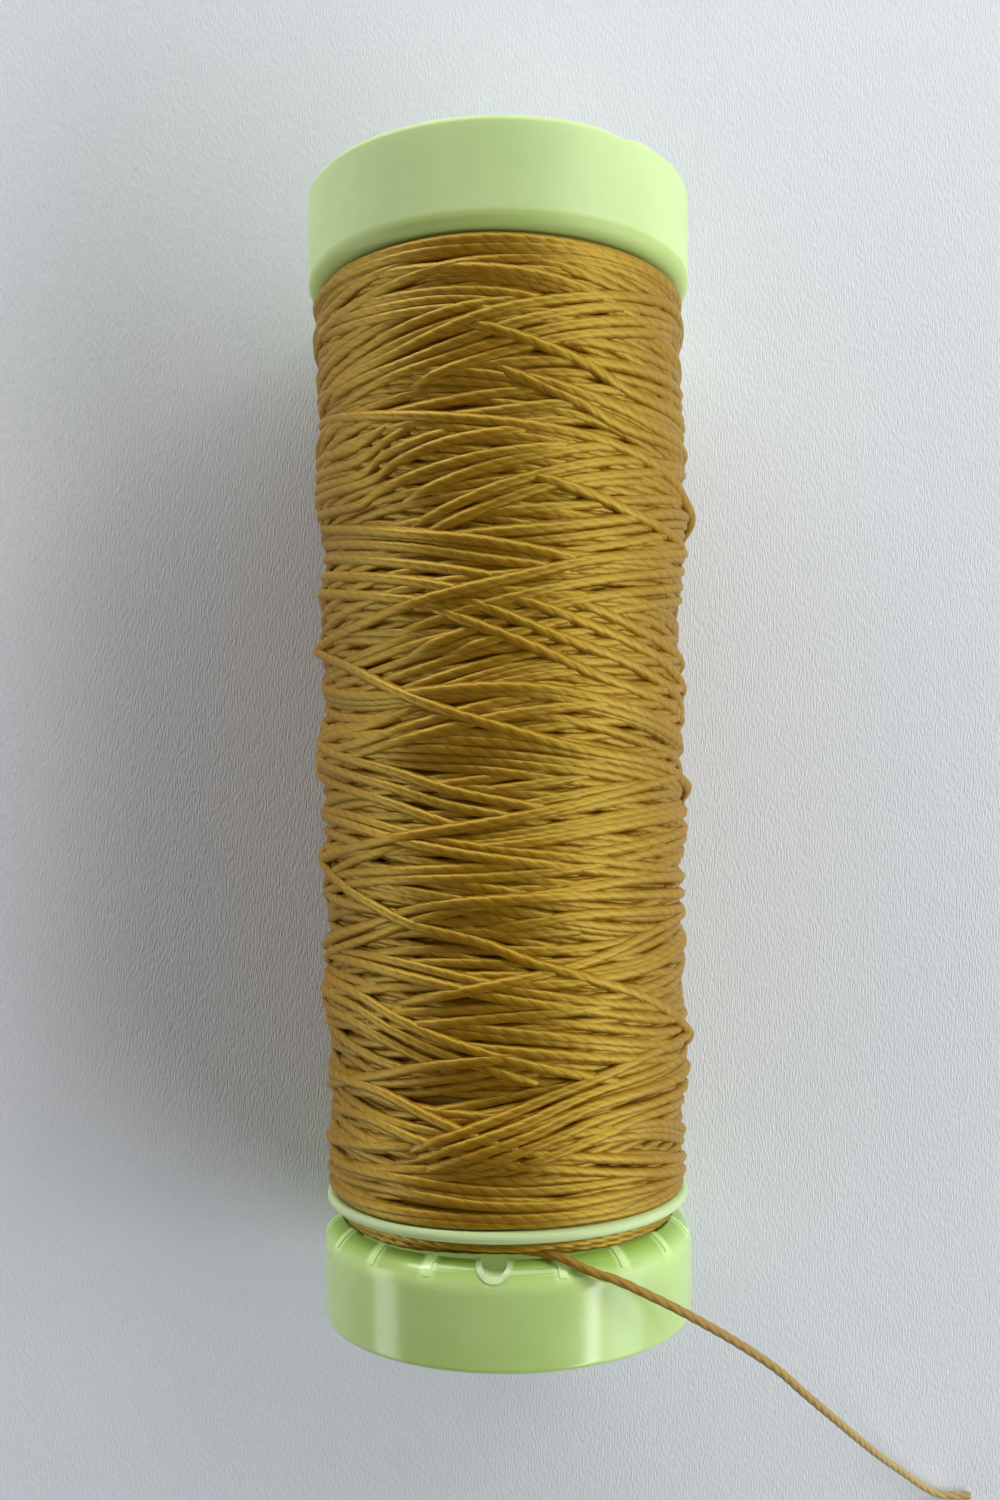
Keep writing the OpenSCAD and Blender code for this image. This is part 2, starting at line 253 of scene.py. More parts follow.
def mark(mesh, name, values):
    """Writes a number or a vector on each point of a mesh, for its finish to read."""
    kind, field = ("FLOAT_VECTOR", "vector") if values.ndim == 2 else ("FLOAT", "value")
    written = mesh.attributes.new(name, kind, "POINT")
    written.data.foreach_set(field, values.astype(np.float32).ravel())


def plied_thread(name, route, finish, shades=None):
    """Three plies twisted round one another along the route, as one closed mesh."""
    sides, count = 24, len(route)
    heading = np.gradient(route, axis=0)
    heading /= np.linalg.norm(heading, axis=1)[:, None]
    normal = np.cross(heading[0], (0.3, 0.2, 1.0))  # any way that is square to the start
    normals = []
    for h in heading:
        normal = normal - h * (normal @ h)
        normal = normal / np.linalg.norm(normal)
        normals.append(normal)
    normals = np.array(normals)
    beside = np.cross(heading, normals)
    run = run_along(route)
    angle = math.tau * np.arange(sides) / sides
    twisted = angle[None, :] - math.tau * run[:, None] / PLY_TURN
    from_ply = (twisted + math.pi / PLIES) % (math.tau / PLIES) - math.pi / PLIES
    reach = HALF * (PLY_OUT * np.cos(from_ply)
                    + np.sqrt(PLY_ROUND ** 2 - (PLY_OUT * np.sin(from_ply)) ** 2))
    rings = (route[:, None, :] + reach[:, :, None]
             * (np.cos(angle)[None, :, None] * normals[:, None, :]
                + np.sin(angle)[None, :, None] * beside[:, None, :]))
    walls = [(i * sides + k, i * sides + (k + 1) % sides,
              (i + 1) * sides + (k + 1) % sides, (i + 1) * sides + k)
             for i in range(count - 1) for k in range(sides)]
    ends = [tuple(range(sides))[::-1], tuple((count - 1) * sides + k for k in range(sides))]
    mesh = new_mesh(name, rings.reshape(-1, 3), [], walls + ends)
    ring = np.column_stack([np.cos(angle), np.sin(angle), 0 * angle])
    mark(mesh, "ring", np.tile(ring, (count, 1)))
    mark(mesh, "along", np.repeat(run, sides))
    mark(mesh, "shade", np.repeat(np.ones(count) if shades is None else shades, sides))
    mesh.materials.append(finish)
    mesh.shade_smooth()
    return add_object(name, mesh)


tail_line = smooth_route(tail_route, 0.12)
# The free end is painted darker where it leaves the lip, a painted shade that fades out towards its
# cut end.
tail = plied_thread("free_end", tail_line, loose_thread, np.linspace(0, 1, len(tail_line)))
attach(tail, "spool")
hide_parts("thread_tail")


# ---- spool body ----
# One moulding in pale lime polypropylene: the deep collar, the tube under the thread and the thin
# disc below it. The plastic is a little milky. The collar's rounded edge is painted darker and
# yellower: painted shade, with a painted reflection of the thread.
AXIS = round(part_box("snap_base")[1].z / 2 / MM, 3)  # mm over the table, where the base lies
# Bands of colour along the spool, in mm from its middle: their start, full part, fading and end.
COLLAR_EDGE_SHADE = (23.5, 24.3, 25.1, 25.35)
DISC_LIGHT = (-23.8, -23.4, -22.6, -22.2)
GAP_TOP = (-23.6, -23.9)


def lime_plastic(name, deep, pale, dull, painted_glow):
    """Moulded plastic between two tints, with a painted glow of the given strength where an
    emission
    colour is painted on: its finish, its tint, and where a point of it lies, as radians round the
    spool, mm along it and mm out from its axis."""
    finish = Finish(name, IOR=1.5, Subsurface_Weight=0.25, Subsurface_Scale=0.0012,
                    Subsurface_Radius=(0.8, 1.0, 0.45), Emission_Strength=painted_glow)
    place = finish.node("ShaderNodeTexCoord", give="Object")
    cloud = finish.noise(place, 260, 3)
    skin = finish.noise(place, 3500)
    finish.paint("Roughness", dull + 0.1 * skin)
    finish.emboss(skin, 0.05, 0.02)
    in_mm = finish.node("ShaderNodeVectorMath", {"operation": "SCALE"}, {0: place, "Scale": 1 / MM})
    x, along, z = (finish.node("ShaderNodeSeparateXYZ", None, {"Vector": in_mm}, k) for k in "XYZ")
    turn = finish.math("ARCTAN2", x, z - AXIS)
    radius = (x ** 2 + (z - AXIS) ** 2) ** 0.5
    tint = finish.mix(finish.step(cloud, 0.3, 0.7), deep, pale)
    return finish, tint, (turn, along, radius)


def dress(node, finish):
    """Gives a moulding its finish."""
    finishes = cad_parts[node].data.materials
    finishes.clear()
    finishes.append(finish.material)


plastic, tint, (_, along, radius) = lime_plastic(
    "lime_plastic", (0.55, 0.735, 0.33, 1), (0.6, 0.775, 0.37, 1), dull=0.42, painted_glow=0.25)
outside = plastic.step(radius, 8.5, 9.2)
collar_edge_shade = plastic.band(along, *COLLAR_EDGE_SHADE) * outside
disc_light = plastic.band(along, *DISC_LIGHT) * outside
# Painted shade and a painted yellow reflection of the thread on the collar's rounded edge.
colour = plastic.mix(collar_edge_shade * 0.8, tint, (0.44, 0.58, 0.16, 1))
# A greyer green on the thin disc: painted light, standing in for daylight through its thin plastic.
plastic.paint("Base Color", plastic.mix(disc_light, colour, (0.52, 0.67, 0.34, 1)))
# Painted light: the hub glows in the gap above the base, standing in for daylight through the milky
# plastic.
hub_glow = plastic.step(along, *GAP_TOP) * plastic.step(radius, 7.3, 7.7)
plastic.paint("Emission Color", plastic.mix(hub_glow, (0, 0, 0, 1), (0.5, 0.66, 0.2, 1)))
dress("spool_body", plastic)


# ---- snap base ----
# The second moulding, in the same plastic. It plugs into the tube and slides there, and its
# toothed lip holds the thread's end. Its green is a little deeper than the spool body's.
LIP = -24.2  # mm along the spool from its middle
TEETH = 18
NOTCH = math.radians(-4.4)
LIP_OUT = 9.59  # mm from the axis

plastic, tint, (turn, along, radius) = lime_plastic(
    "lime_plastic_base", (0.47, 0.66, 0.225, 1), (0.51, 0.7, 0.265, 1), dull=0.14, painted_glow=0.16)
outside = plastic.step(radius, 6.6, 7.4)
from_lip = LIP - along
# Painted shade on the shoulder inside the lip, under the locked turns.
shoulder_shade = plastic.step(from_lip, 1.0, 0.15) * plastic.step(from_lip, -0.3, -0.1) * outside
# Painted highlights on the teeth, which are also given a painted glow.
tooth_light = plastic.step(plastic.math("COSINE", (turn - NOTCH) * TEETH), 0.5, 1.0)
tooth_light = tooth_light * plastic.step(from_lip, 1.2, 0.7) * outside
# A painted highlight round the edge of the notch.
to_notch = (((turn - NOTCH) * LIP_OUT) ** 2 + from_lip ** 2) ** 0.5
notch_highlight = plastic.step(to_notch, 1.1, 0.8) * plastic.step(turn ** 2, 0.2, 0.1) * outside
colour = plastic.mix(shoulder_shade * 0.85, tint, (0.3, 0.5, 0.06, 1))
colour = plastic.mix(tooth_light * 0.6, colour, (0.6, 0.8, 0.38, 1))
plastic.paint("Base Color", plastic.mix(notch_highlight * 0.8, colour, (0.58, 0.7, 0.44, 1)))
# Painted light: the teeth glow, standing in for daylight through their thin plastic.
plastic.paint("Emission Color", plastic.mix(tooth_light, (0, 0, 0, 1), (0.5, 0.68, 0.25, 1)))
# Faint flow marks from the mould run round it, in place of the plain skin.
flow = plastic.node("ShaderNodeCombineXYZ", None, {"X": turn * 2, "Y": along * 3.2, "Z": radius})
plastic.emboss(plastic.noise(flow, 1.6, 3), 0.25, 0.03)
dress("snap_base", plastic)


# ---- wound thread ----
# About thirty metres of the same thread, wound crosswise between the disc and the collar. Turns
# lie side by side in bands that climb and fall, and cross the bands wound before them.
pack_low, pack_high = (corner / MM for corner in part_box("thread_package"))
FOOT, HEAD = pack_low.y - 0.05, pack_high.y + 0.05
LENGTH = HEAD - FOOT
PRESSED = 0.36  # share of its height that a strand keeps where it crosses others
DRAWN = 0.6  # mm across a wound strand, which spreads a little
WOUND, OUTER = 9.6, 9.7  # mm from the axis, for the winding and for its last turns
AROUND, ACROSS = 512, 392  # cells round the spool and along it that hold the winding's height
CELL = LENGTH / ACROSS
NEAR = np.arange(-2, 3)  # cells to each side that a strand can touch
BELOW_ALL = -9  # the height of what isn't there
RESTS_ON = 0.7  # share of its width by which a strand rests on others
STEPS = 175  # points in one turn of a strand
STRETCH = 600  # points of a strand that are laid at a time
TUCK = 12  # points at a strand's end that go down under the others
SLACK, BEND = 9, 5  # points to each side over which a slack strand, and any strand, stays smooth
SPARE = 7  # points that are kept past each end of what shows of a strand
BURIED = 0.1  # mm that a strand may lie under the others and still be kept
BESIDE = 0.5  # mm from one climb to the next
SIDES = 7  # flat sides round a wound strand
BOW = 1 / (2 * AXIS)  # how fast the round winding falls away from a straight thread
MARGIN = 4  # mm that the sway is known past the winding's ends
SECTIONS = 5
dice = np.random.default_rng(20)
top = np.zeros(AROUND * ACROSS)


def soften(values, reach):
    """The values evened out over a reach of neighbours to each side."""
    weights = np.hanning(2 * reach + 3)[1:-1]
    return np.convolve(np.pad(values, reach, "edge"), weights / weights.sum(), "valid")


def footprint(angle, station):
    """The cells near each point of a strand, and their distance from it, squared."""
    a, s = angle / math.tau * AROUND, station / CELL
    da, ds = np.meshgrid(NEAR, NEAR)
    cell_a = np.floor(a)[:, None] + da.ravel()
    cell_s = np.floor(s)[:, None] + ds.ravel()
    wide = math.tau * WOUND / AROUND
    away = ((cell_a + 0.5 - a[:, None]) * wide) ** 2 + ((cell_s + 0.5 - s[:, None]) * CELL) ** 2
    index = (cell_a % AROUND * ACROSS + np.clip(cell_s, 0, ACROSS - 1)).astype(int)
    return index, away


def lay(angle, station, taut, drop):
    """Lays one strand over what is wound so far and gives its centre's height. Taut ones bridge."""
    index, away = footprint(angle, station)
    touch = (RESTS_ON * HALF) ** 2
    rest = np.where(away < touch, top[index] + np.sqrt(np.maximum(touch - away, 0)),
                    BELOW_ALL).max(1)
    run = np.concatenate([[0], np.cumsum(np.hypot(np.diff(angle) * WOUND, np.diff(station)))])
    flat = rest - BOW * run ** 2
    hull = []
    for i in range(len(run)):
        while len(hull) > 1 and ((flat[hull[-1]] - flat[hull[-2]]) * (run[i] - run[hull[-1]])
                                 <= (flat[i] - flat[hull[-1]]) * (run[hull[-1]] - run[hull[-2]])):
            hull.pop()
        hull.append(i)
    bridge = np.interp(run, run[hull], flat[hull]) + BOW * run ** 2
    height = taut * bridge + (1 - taut) * soften(rest, SLACK)
    height = soften(height, BEND) - drop
    rise = np.sqrt(np.maximum(HALF ** 2 - away, 0))
    np.maximum.at(top, index[away < HALF ** 2],
                  (height[:, None] + rise)[away < HALF ** 2])
    return height


def tucked(count, depth):
    """How far each point of a strand goes down, so that both its ends are hidden."""
    from_end = np.minimum(np.arange(count), np.arange(count)[::-1])
    return depth * np.clip(1 - from_end / TUCK, 0, 1) ** 1.5


# The winding sways gently along the spool, and neighbouring turns share the sway. Each wave has
# its size in mm, its count round the spool, its length along it in mm, and its shift.
waves = [(0.3, 1, 31, 0.4), (0.26, -2, 23, 2.1), (0.2, 3, 17, 4.4), (0.16, 2, -13, 1.2),
         (0.1, -4, 9, 3.0)]
round_share, each_mm = np.meshgrid(np.arange(AROUND + 1) / AROUND,
                                   np.arange(-MARGIN, LENGTH + MARGIN + 1), indexing="ij")
sway = sum(size * np.sin(math.tau * (round_share * lap + each_mm / wave) + shift)
           for size, lap, wave, shift in waves)


def swayed(turned, station):
    """The station moved by the sway, which dies away towards the disc and the collar."""
    inner = np.clip(np.minimum(station, LENGTH - station) / 3, 0, 1)
    row = (turned % 1 * AROUND).astype(int)
    column = np.clip(station + MARGIN, 0, sway.shape[1] - 1).astype(int)
    return station + inner * sway[row, column]


# Each layer has its turns in one climb, and its climbs there and back. Each climb lies close
# beside the one before, so a layer covers all round before the next begins. A strand is kept as
# its angles, stations and heights, and whether it goes on from the strand before.
layers = [(7, 15), (5.5, 17), (6.5, 15)]
strands = []
for climb_turns, climbs in layers:
    pitch = LENGTH / climb_turns
    course = [(dice.random(), 0.3)]
    for _ in range(climbs):
        beside = BESIDE + abs(dice.normal(0, 0.06))
        slow = dice.uniform(0.05, 0.1)
        climbing = climb_turns - slow + beside / pitch / 2
        low = 0.25 + 0.7 * dice.random() ** 2
        high = LENGTH - 0.25 - 0.7 * dice.random() ** 2
        for more, reached in ((slow / 2, low), (climbing, high - 0.1), (slow / 2, high),
                              (slow / 2, high - 0.1), (climbing, low + 0.1), (slow / 2, low)):
            course.append((course[-1][0] + more, reached))
    course = np.array(course)
    turned = np.arange(course[0, 0], course[-1, 0], 1 / STEPS)
    station = np.interp(turned, course[:, 0], course[:, 1])
    knots = np.arange(turned[0], turned[-1] + 0.4, 0.35)
    wander = np.interp(turned, knots, dice.normal(0, 0.045, len(knots)))
    station = np.clip(soften(swayed(turned, station) + wander, 12),
                      HALF - 0.05, LENGTH - HALF + 0.05)
    angle = turned * math.tau
    drop = tucked(len(turned), 2)
    for begin in range(0, len(turned) - 1, STRETCH):
        part = slice(begin, begin + STRETCH + 1)
        height = lay(angle[part], station[part], 0, drop[part])
        strands.append((angle[part], station[part], height, begin > 0))

# A few turns run straight round against the disc and the collar.
straight_turns = [(0.2, 0.9), (LENGTH - 0.2, LENGTH - 1.0), (0.22, 0.6),
                  (LENGTH - 0.3, LENGTH - 0.8)]
for first, last in straight_turns:
    turned = np.arange(0, 2.2, 1 / STEPS) + dice.random()
    station = np.linspace(first, last, len(turned)) + 0.08 * np.sin(turned * 9)
    height = lay(turned * math.tau, station, 0, tucked(len(turned), 2))
    strands.append((turned * math.tau, station, height, False))

# The last turns lie loose on top, in the order they were wound: degrees from the spool's top
# line, and millimetres along it from its middle.
last_turns = [
    [(-82.7, -20.6), (-33, -20.4), (-8, -20.7), (15, -20.8), (42.8, -20.8), (82.3, -21.2)],
    [(-82.7, -21.4), (-33.1, -21.1), (-8, -21.4), (14.9, -21.5), (42.8, -21.5), (82.3, -22)],
    [(-76.8, 12.3), (-29.9, 10.8), (-6, 10.2), (16.5, 9.5)],
    [(-77.6, 11.5), (-30, 10.2), (-6, 9.4), (10.7, 9)],
    [(-78.5, 10.8), (-30.1, 9.4), (-8.9, 8.7)],
    [(-82.7, 10), (-33.7, 8.7), (-14.6, 8)],
    [(-82.7, 9.1), (-37.5, 7.9), (-20.6, 7.4)],
    [(-16.8, 18.1), (5.1, 19.1), (24.6, 19.9), (58.5, 21.1)],
    [(-48.2, 17.8), (-19.7, 18.6), (5.1, 19.6), (29.5, 20.6), (68.3, 21.9)],
    [(-54.7, 18.3), (-27.5, 18.8), (5.2, 20.2), (33.4, 21.4), (65.1, 22.2)],
    [(0.2, 19.8), (24.6, 18.6), (43.8, 17.6), (82.3, 17.5)],
    [(8.4, 17.6), (22.6, 16.7), (42.8, 15.8), (91.5, 16)],
    [(16.9, 17.4), (33.2, 16.8), (55, 16.2), (82.2, 16)],
    [(-91.2, 16), (-52.3, 15.3), (-39.7, 15.6)],
    [(-90.7, 15.2), (-49.7, 14.6), (-33, 15.3)],
    [(-94.1, 14.7), (-49.9, 13.9), (-34.8, 14.6), (-21.5, 15.1)],
    [(-93.8, 14), (-45.1, 13.5), (-30.6, 14.2), (-17, 14.8), (-0.1, 15.2)],
    [(-8.7, 11.5), (16.1, 12.9), (44.5, 13.9), (82.3, 15.1)],
    [(-14, 11.9), (4.8, 13), (33, 14.2), (67.7, 15)],
    [(-20.5, 12.8), (-2.7, 13.7), (14.4, 14.3), (28.6, 14.8), (44.6, 15)],
    [(16.7, 12.9), (32.2, 12.3), (43.5, 11.8), (72.9, 11.1)],
    [(-93.5, 13.4), (-51.1, 12.6), (-37.6, 13), (-21.9, 13.6), (-6.5, 14.1), (11, 14.5)],
    [(-6.3, 5.4), (16.4, 6.5), (39.9, 7.3), (82.2, 8.6)],
    [(-17.8, 5.6), (7.8, 6.9), (32.4, 7.8), (82.2, 9.3)],
    [(-23.8, 6.4), (2.8, 7.5), (29, 8.5), (82.2, 10.1)],
    [(-9, 6.4), (10.5, 5.1), (35.8, 3.6), (82.4, 2.2)],
    [(-0.6, 6.8), (16.3, 5.7), (43.1, 4.5), (82.3, 2.7)],
    [(10.6, 7.1), (28.9, 6.2), (51.4, 5.2), (82.2, 3.9)],
    [(28.9, 7), (48.9, 6.2), (82.2, 5.2)],
    [(-82.7, -0.3), (-42.7, -1.7), (-21.5, -2.8)],
    [(-82.7, 0.6), (-38.5, -1.1), (-18.4, -2.1), (-1.2, -2.7)],
    [(-82.7, 1.4), (-38.4, -0.3), (-15.3, -1.5), (7.3, -2.3)],
    [(-82.7, -12.5), (-54.5, -12.9), (-38, -13.7), (-22.4, -14.6)],
    [(-82.7, -11.7), (-54.4, -12.1), (-36, -13.1), (-22.4, -13.9), (-1.9, -15)],
    [(-82.7, -11), (-54.2, -11.4), (-35.9, -12.4), (-19.2, -13.4), (3.7, -14.5), (27.8, -15.5)],
    [(-82.6, -17), (-44.5, -15.6), (-24.4, -14.8), (-7.6, -14.4)],
    [(-82.7, -18.1), (-49.7, -17.7), (-26, -18.4), (-2.2, -19.3), (27.6, -20.1), (82.3, -21.8)],
    [(-74, -16.1), (-44.6, -16.2), (-20.5, -17.4), (2.9, -18.7), (27.6, -19.4), (82.3, -21.1)],
    [(9.2, -19.2), (27.7, -18.3), (47.6, -17.7), (82.3, -18)],
    [(-2.2, -19.1), (15.1, -18.1), (34.8, -17.3), (82.3, -17.1)],
    [(-13.7, -19.2), (6.4, -18), (31.6, -16.6), (82.3, -16.2)],
    [(-16.6, -18.7), (0.7, -17.7), (31.6, -16), (82.3, -15.3)],
    [(-19.6, -18.3), (-0.9, -17.1), (15.2, -16.1), (31.6, -15.3), (50.4, -14.6), (82.3, -14.4)],
    [(4.1, -7.9), (28.2, -7.5), (82.2, -7.7)],
    [(-82.6, -10.2), (-45.9, -8.7), (-28.3, -7.8), (-7.1, -6.9), (15.7, -6.4), (43.5, -5.9),
     (82.2, -6)],
    [(-82.7, -9.5), (-45.8, -8.1), (-25, -7.1), (-1.4, -6.7), (28.2, -6.6), (82.2, -6.9)],
    [(-19.1, -11.3), (-1.7, -10.7), (16.4, -10.1), (31.6, -9.5), (53.5, -8.5), (82.2, -7.9)],
    [(-82.6, -6.2), (-63.7, -5.4), (-51.9, -4.9), (-40.9, -4.5)],
    [(-82.7, -5), (-56, -4.4), (-31.4, -3.7), (-6.8, -3.1), (15.3, -2.4), (43.7, -1.4), (62, -0.9),
     (82.4, -0.5), (98, 0.3)],
    [(-100, 5.9), (-82.4, 6.2), (-57, 6.5), (-41.6, 6.9), (-17.6, 7.7), (2.8, 8.4), (24.1, 9.3),
     (44.3, 9.9), (65, 10.5), (82, 11), (100, 11.5)],
    [(-98, 7), (-82.4, 6.1), (-60.9, 5.1), (-47.8, 4.4), (-22.9, 2.7), (-7.4, 1.8), (15.5, 0.7),
     (32.4, 0.2), (54, -0.2), (70, -0.7), (86, -1.4), (104, -2.4)],
    [(-100, -4), (-82.5, -4.8), (-69, -5.5), (-57, -6.2), (-41.3, -7.1), (-28.3, -7.9), (-8, -8.7),
     (7.1, -9.7), (18.8, -10.3), (42.4, -11.6), (62.4, -13), (80, -14.3), (96, -15.5),
     (112, -16.6)],
    [(-98, 18.9), (-82.4, 17.9), (-60, 17.2), (-40.4, 16.6), (-16.9, 16), (3.2, 15.6), (27, 15.2),
     (42.8, 14.8), (64.5, 14.1), (80, 13.3), (95, 12.3), (112, 11)],
    [(-69.6, 18.3), (-50, 18.8), (-30.1, 19.3), (1.3, 20.8), (33.4, 21.9), (58.6, 22.7),
     (76, 22.8), (92, 22.3), (108, 21.4)],
]
# A few of them stand off the winding: where, and by how many millimetres.
loose_loops = [(82, 22.0, 0.4), (86, 12.8, 0.4), (-83, 6.4, 0.35), (84, -1, 0.45),
               (83, -14.8, 0.4), (-84, 18.6, 0.2)]
LOOP_REACH, LOOP_WIDTH = 0.5, 1.5
for route in last_turns:
    line = smooth_route([(OUTER * math.radians(a), y - FOOT, 0) for a, y in route], 0.34)
    lead = np.arange(TUCK, 0, -1)[:, None] * (line[0] - line[1])
    trail = np.arange(1, TUCK + 1)[:, None] * (line[-1] - line[-2])
    line = np.vstack([line[0] + lead, line, line[-1] + trail])
    angle = line[:, 0] / OUTER
    station = np.clip(line[:, 1], HALF + 0.03, LENGTH - HALF - 0.03)
    height = lay(angle, station, 0.7, tucked(len(line), 2.4))
    for a, y, lift in loose_loops:
        away = np.hypot((angle - math.radians(a)) * OUTER, station + FOOT - y)
        if away.min() < LOOP_REACH:
            height += 2 * lift * np.exp(-(away / LOOP_WIDTH) ** 2)
    strands.append((angle, station, height, False))

# How high the winding lies along the spool, and how far out it should: the package is a little
# fuller in the middle than at its ends.
surface = soften(np.percentile(top.reshape(AROUND, ACROSS), 75, axis=0), 6)
package_outline = [(0, 9.64), (1.5, 9.66), (LENGTH / 2, 9.72), (LENGTH - 1.5, 9.68),
                   (LENGTH, 9.62)]
stations = (np.arange(ACROSS) + 0.5) * CELL
wanted = np.interp(stations, *zip(*package_outline))

# Only what the others leave in view is kept of each strand.
sections = [[] for _ in range(SECTIONS)]
for angle, station, height, goes_on in strands:
    index, away = footprint(angle, station)
    proud = height[:, None] + np.sqrt(np.maximum(HALF ** 2 - away, 0)) - top[index]
    shown = np.where(away < HALF ** 2, proud, BELOW_ALL).max(1) > -BURIED
    kept = np.convolve(shown, np.ones(2 * SPARE + 1), "same") > 0
    if goes_on:
        # A long strand is laid in stretches, and each starts where the one before ends.
        joint = min(2 * SPARE, len(height) - 1)
        height[:joint] = np.linspace(end_height, height[joint], joint)
    end_height = height[-1]
    level = np.interp(station, stations, surface)
    out = PRESSED * (height + HALF - level) - HALF + np.interp(station, stations, wanted)
    # The winding stays over the table, and what lies deep in it is painted darker, a painted shade.
    table_room = (AXIS - DRAWN / 2 - 0.01) / np.maximum(-np.cos(angle), 0.1)
    out = np.minimum(out, table_room)
    sunk = np.clip(level - height - HALF, 0, 0.8)
    shades = np.clip(1 - 0.35 * sunk + dice.normal(-0.03, 0.03), 0, 1)
    line = np.column_stack([out * np.sin(angle), FOOT + station, AXIS + out * np.cos(angle)])
    changes = np.flatnonzero(np.diff(np.concatenate([[0], kept.astype(int), [0]])))
    for begin, end in zip(changes[::2], changes[1::2]):
        if end - begin > 4:
            shortest = min(sections, key=lambda part: sum(len(points) for points, _ in part))
            shortest.append((line[begin:end], shades[begin:end]))


def swept_thread_tree():
    """Geometry nodes that sweep a round thread along every line of a mesh."""
    tree = bpy.data.node_groups.new("swept_thread", "GeometryNodeTree")
    face = tree.interface
    face.new_socket("Lines", in_out="INPUT", socket_type="NodeSocketGeometry")
    sockets = {
        "diameter": face.new_socket("Diameter", in_out="INPUT", socket_type="NodeSocketFloat"),
        "sides": face.new_socket("Sides", in_out="INPUT", socket_type="NodeSocketInt"),
        "finish": face.new_socket("Finish", in_out="INPUT", socket_type="NodeSocketMaterial"),
    }
    face.new_socket("Thread", in_out="OUTPUT", socket_type="NodeSocketGeometry")
    bench = Bench(tree)
    lines, diameter, sides, finish = (bench.node("NodeGroupInput", give=k) for k in range(4))
    curve = bench.node("GeometryNodeMeshToCurve", None, {"Mesh": lines})
    run = bench.node("GeometryNodeSplineParameter", give="Length")
    curve = bench.node("GeometryNodeStoreNamedAttribute", {"data_type": "FLOAT"},
                       {"Geometry": curve, "Name": "along", "Value": run / MM})
    outline = bench.node("GeometryNodeCurvePrimitiveCircle", {"mode": "RADIUS"},
                         {"Resolution": sides, "Radius": diameter / 2})
    ring = bench.node("ShaderNodeVectorMath", {"operation": "SCALE"}, {
        0: bench.node("GeometryNodeInputPosition"), "Scale": 2 / diameter})
    outline = bench.node("GeometryNodeStoreNamedAttribute", {"data_type": "FLOAT_VECTOR"},
                         {"Geometry": outline, "Name": "ring", "Value": ring})
    swept = bench.node("GeometryNodeCurveToMesh", None,
                       {"Curve": curve, "Profile Curve": outline, "Fill Caps": True})
    smooth = bench.node("GeometryNodeSetShadeSmooth", None, {"Geometry": swept})
    real = bench.node("GeometryNodeRealizeInstances", None, {"Geometry": smooth})
    done = bench.node("GeometryNodeSetMaterial", None, {"Geometry": real, "Material": finish})
    bench.node("NodeGroupOutput", None, {0: done})
    return tree, {name: socket.identifier for name, socket in sockets.items()}


def swept_thread(name, lines, tree, inputs):
    """One mesh of thread, swept along the given lines of points in mm."""
    counts = np.array([len(points) for points, _ in lines])
    starts = np.concatenate([[0], np.cumsum(counts)[:-1]])
    edges = [(int(s + k), int(s + k + 1)) for s, n in zip(starts, counts) for k in range(n - 1)]
    mesh = new_mesh(name + "_lines", np.vstack([points for points, _ in lines]), edges, [])
    mark(mesh, "shade", np.concatenate([shades for _, shades in lines]))
    guide = add_object(name + "_lines", mesh)
    sweep = guide.modifiers.new("sweep", "NODES")
    sweep.node_group = tree
    sweep[inputs["diameter"]], sweep[inputs["sides"]] = DRAWN * MM, SIDES
    sweep[inputs["finish"]] = thread
    graph = bpy.context.evaluated_depsgraph_get()
    result = bpy.data.meshes.new_from_object(guide.evaluated_get(graph), depsgraph=graph)
    bpy.data.objects.remove(guide)
    result.name = name
    return add_object(name, result)


sweep_tree, sweep_inputs = swept_thread_tree()
for number, lines in enumerate(sections, 1):
    piece = swept_thread(f"winding_{number}", lines, sweep_tree, sweep_inputs)
    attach(piece, "spool")
    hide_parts("thread_outer_layer")


# ---- inner turns ----
# The same thread further in, packed close and in deep shade on the tube: it only shows as the
# dark between the outer turns.
BORE = 7.05  # mm from the axis, just clear of the tube
UNDER = 0.62  # mm below the package's outline
END_GAP = 0.06  # mm from the disc and from the collar
FACETS = 96

deep = Finish("thread_in_shade", Roughness=0.9)
place = deep.node("ShaderNodeTexCoord", give="Object")
packed = deep.node("ShaderNodeTexWave", {"bands_direction": "Y"},
                   {"Vector": place, "Scale": 620, "Distortion": 1.5})
deep.paint("Base Color", deep.mix(packed, (0.16, 0.085, 0.006, 1), (0.28, 0.155, 0.014, 1)))
deep.emboss(packed, 0.6, 0.12)

profile = [(BORE, END_GAP), *[(np.interp(s, stations, wanted) - UNDER, s)
                              for s in np.linspace(END_GAP, LENGTH - END_GAP, 24)],
           (BORE, LENGTH - END_GAP)]
facet_angles = [math.tau * k / FACETS for k in range(FACETS)]
points = [(r * math.sin(a), FOOT + s, AXIS + r * math.cos(a))
          for r, s in profile for a in facet_angles]
corners = len(profile)
faces = [(i * FACETS + k, (i + 1) % corners * FACETS + k,
          (i + 1) % corners * FACETS + (k + 1) % FACETS, i * FACETS + (k + 1) % FACETS)
         for i in range(corners) for k in range(FACETS)]
mesh = new_mesh("inner_turns", points, [], faces)
mesh.materials.append(deep.material)
inner_turns = add_object("inner_turns", mesh)
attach(inner_turns, "spool")
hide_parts("thread_package")


# ---- locked turns ----
# The last turns before the free end, held on the hub between the disc and the snap base's lip.
# They come from the winding over the disc's rim, on the side that lies on the table.
HUB = 7.95 + HALF
end_x, end_y, end_z = tail_route[0]
end_angle = math.atan2(end_x, end_z - AXIS)
